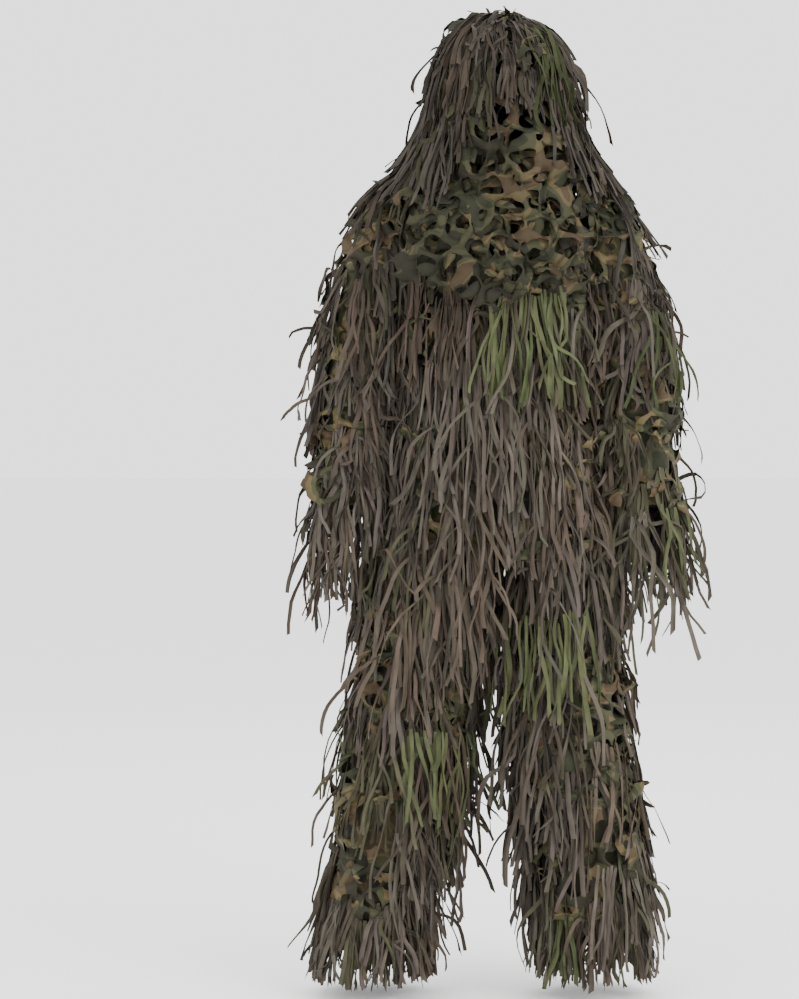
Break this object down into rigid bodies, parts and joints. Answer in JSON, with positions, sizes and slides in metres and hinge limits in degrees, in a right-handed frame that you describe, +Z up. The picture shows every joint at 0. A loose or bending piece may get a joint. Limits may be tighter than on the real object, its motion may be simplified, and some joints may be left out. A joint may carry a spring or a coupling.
{
  "type": "ghillie suit",
  "caption": "Hollow camouflage suit of strands and leaf-cut netting: jacket, braced trousers and a lift-off hood with a face veil.",
  "frame": {"origin": "middle of the wearer's shoulder line, where the braces and the jacket's yoke bear", "axes": "+Z up, from the shoulders to the top of the hood; -Y to the front; +X to the wearer's left"},
  "size_m": [0.7568, 0.4301, 1.8],
  "materials": {
    "strands": "matt grey-brown, olive and green cloth strips and thin net strands",
    "leaf_net": "matt camouflage net, cut into leaf shapes",
    "base_cloth": "dark olive woven cloth",
    "lining": "fine black-green mesh",
    "webbing": "ribbed olive webbing",
    "elastic": "ribbed black elastic",
    "hook_loop": "hook-and-loop tape",
    "plastic": "satin olive plastic"
  },
  "bodies": {
    "jacket": {"jacket_lining": "lining", "jacket_back": "base_cloth", "jacket_front_left": "base_cloth", "jacket_front_right": "base_cloth", "collar": "base_cloth", "button_placket": "base_cloth", "button_1": "plastic", "button_2": "plastic", "button_3": "plastic", "button_4": "plastic", "button_5": "plastic", "back_foliage": "strands", "front_foliage_left": "strands", "front_foliage_right": "strands", "jacket_skirt_left": "strands", "jacket_skirt_right": "strands", "sleeve_head_left": "strands", "sleeve_head_right": "strands", "waistband": "base_cloth", "waist_drawstring": "webbing", "trouser_seat_left": "base_cloth", "trouser_seat_right": "base_cloth", "brace_left": "webbing", "brace_right": "webbing", "brace_back_strap": "webbing"},
    "hood_cape": {"shoulder_cape": "leaf_net", "hood_neck": "base_cloth"},
    "hood": {"hood_shell": "base_cloth", "hood_foliage": "strands"},
    "veil": {"face_veil": "leaf_net"},
    "left_upper_sleeve": {"upper_sleeve_left": "base_cloth", "upper_sleeve_foliage_left": "strands", "elbow_left": "strands"},
    "left_forearm_sleeve": {"forearm_sleeve_left": "base_cloth", "forearm_foliage_left": "strands", "cuff_elastic_left": "elastic"},
    "left_cuff_strap": {"cuff_strap_left": "hook_loop"},
    "left_thigh": {"thigh_left": "base_cloth", "thigh_foliage_left": "strands", "knee_left": "strands"},
    "left_shin": {"shin_left": "base_cloth", "shin_foliage_left": "strands", "ankle_elastic_left": "elastic"},
    "left_ankle_strap": {"ankle_strap_left": "hook_loop"},
    "left_brace_slider": {"brace_slider_left": "plastic"},
    "right_upper_sleeve": {"upper_sleeve_right": "base_cloth", "upper_sleeve_foliage_right": "strands", "elbow_right": "strands"},
    "right_forearm_sleeve": {"forearm_sleeve_right": "base_cloth", "forearm_foliage_right": "strands", "cuff_elastic_right": "elastic"},
    "right_cuff_strap": {"cuff_strap_right": "hook_loop"},
    "right_thigh": {"thigh_right": "base_cloth", "thigh_foliage_right": "strands", "knee_right": "strands"},
    "right_shin": {"shin_right": "base_cloth", "shin_foliage_right": "strands", "ankle_elastic_right": "elastic"},
    "right_ankle_strap": {"ankle_strap_right": "hook_loop"},
    "right_brace_slider": {"brace_slider_right": "plastic"}
  },
  "joints": [
    {"name": "hood_lift_off", "type": "slide", "parent": "jacket", "child": "hood_cape", "axis": [0, 0, 1], "range_m": [0, 0.35]},
    {"name": "hood_fold_back", "type": "hinge", "parent": "hood_cape", "child": "hood", "pos_m": [0, 0.15, 0.09], "axis": [-1, 0, 0], "range_deg": [0, 80]},
    {"name": "face_veil_lift", "type": "hinge", "parent": "hood", "child": "veil", "pos_m": [0, -0.158, 0.258], "axis": [-1, 0, 0], "range_deg": [0, 100]},
    {"name": "left_shoulder_raise", "type": "hinge", "parent": "jacket", "child": "left_upper_sleeve", "pos_m": [0.2, 0, -0.03], "axis": [0, -1, 0], "range_deg": [0, 75], "deforming": ["sleeve_head_left"]},
    {"name": "left_elbow_bend", "type": "hinge", "parent": "left_upper_sleeve", "child": "left_forearm_sleeve", "pos_m": [0.252, 0.012, -0.32], "axis": [-1, 0, 0], "range_deg": [0, 90], "deforming": ["elbow_left"]},
    {"name": "left_cuff_strap_peel", "type": "hinge", "parent": "left_forearm_sleeve", "child": "left_cuff_strap", "pos_m": [0.2997, -0.0621, -0.5528], "axis": [-0.0548, 0.1535, 0.9866], "range_deg": [0, 110]},
    {"name": "left_hip_swing", "type": "hinge", "parent": "jacket", "child": "left_thigh", "pos_m": [0.097, 0, -0.55], "axis": [-1, 0, 0], "range_deg": [-15, 45], "deforming": ["trouser_seat_left", "jacket_skirt_left"]},
    {"name": "left_knee_bend", "type": "hinge", "parent": "left_thigh", "child": "left_shin", "pos_m": [0.132, 0, -0.98], "axis": [1, 0, 0], "range_deg": [0, 85], "deforming": ["knee_left"]},
    {"name": "left_ankle_strap_peel", "type": "hinge", "parent": "left_shin", "child": "left_ankle_strap", "pos_m": [0.2352, -0.0533, -1.37], "axis": [0, 0, 1], "range_deg": [0, 110]},
    {"name": "left_brace_slider_slide", "type": "slide", "parent": "jacket", "child": "left_brace_slider", "axis": [0, 0, 1], "range_m": [0, 0.09]},
    {"name": "right_shoulder_raise", "type": "hinge", "parent": "jacket", "child": "right_upper_sleeve", "pos_m": [-0.2, 0, -0.03], "axis": [0, 1, 0], "range_deg": [0, 75], "deforming": ["sleeve_head_right"]},
    {"name": "right_elbow_bend", "type": "hinge", "parent": "right_upper_sleeve", "child": "right_forearm_sleeve", "pos_m": [-0.252, 0.012, -0.32], "axis": [-1, 0, 0], "range_deg": [0, 90], "deforming": ["elbow_right"]},
    {"name": "right_cuff_strap_peel", "type": "hinge", "parent": "right_forearm_sleeve", "child": "right_cuff_strap", "pos_m": [-0.2997, -0.0621, -0.5528], "axis": [-0.0548, -0.1535, -0.9866], "range_deg": [0, 110]},
    {"name": "right_hip_swing", "type": "hinge", "parent": "jacket", "child": "right_thigh", "pos_m": [-0.1, 0, -0.55], "axis": [-1, 0, 0], "range_deg": [-15, 45], "deforming": ["trouser_seat_right", "jacket_skirt_right"]},
    {"name": "right_knee_bend", "type": "hinge", "parent": "right_thigh", "child": "right_shin", "pos_m": [-0.166, 0, -0.98], "axis": [1, 0, 0], "range_deg": [0, 85], "deforming": ["knee_right"]},
    {"name": "right_ankle_strap_peel", "type": "hinge", "parent": "right_shin", "child": "right_ankle_strap", "pos_m": [-0.2832, -0.0533, -1.37], "axis": [0, 0, -1], "range_deg": [0, 110]},
    {"name": "right_brace_slider_slide", "type": "slide", "parent": "jacket", "child": "right_brace_slider", "axis": [0, 0, 1], "range_m": [0, 0.09]}
  ]
}
